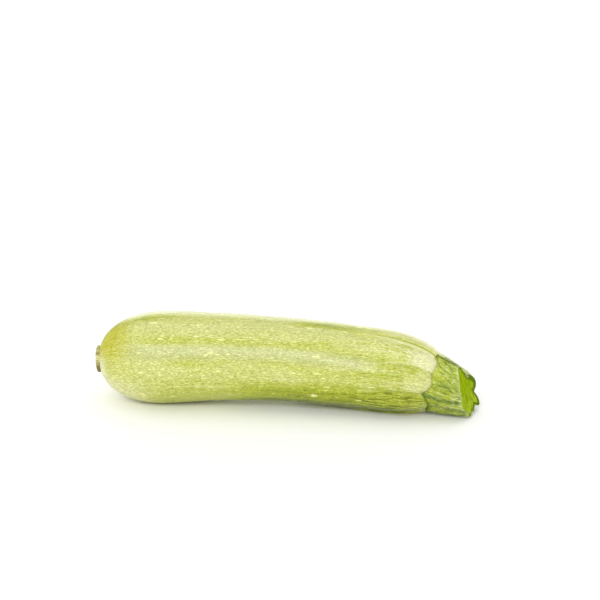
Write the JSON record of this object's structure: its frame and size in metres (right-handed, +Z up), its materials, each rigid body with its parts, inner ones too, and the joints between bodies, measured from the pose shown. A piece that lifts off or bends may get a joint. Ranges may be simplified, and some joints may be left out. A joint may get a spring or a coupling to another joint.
{
  "type": "zucchini",
  "caption": "Pale green zucchini lying on its side, thicker at the blossom end, with a ribbed cut stalk and a corky blossom scar.",
  "frame": {"origin": "on the surface that the zucchini lies on, under the middle of its bounding box", "axes": "+X along the fruit, from the blossom scar to the stalk; +Z up; -Y is the side that shows in the picture"},
  "size_m": [0.1724, 0.0428, 0.0411],
  "materials": {
    "fruit_skin": "thin waxy skin, satin, pale lime green with cream flecks along its length",
    "stalk_skin": "tough ribbed green skin, matt, with pale bristly streaks; the cut face is moist and yellow-green",
    "scar_cork": "dry brown cork, matt"
  },
  "bodies": {
    "root": {"fruit": "fruit_skin", "stalk": "stalk_skin", "blossom_scar": "scar_cork"}
  },
  "joints": []
}
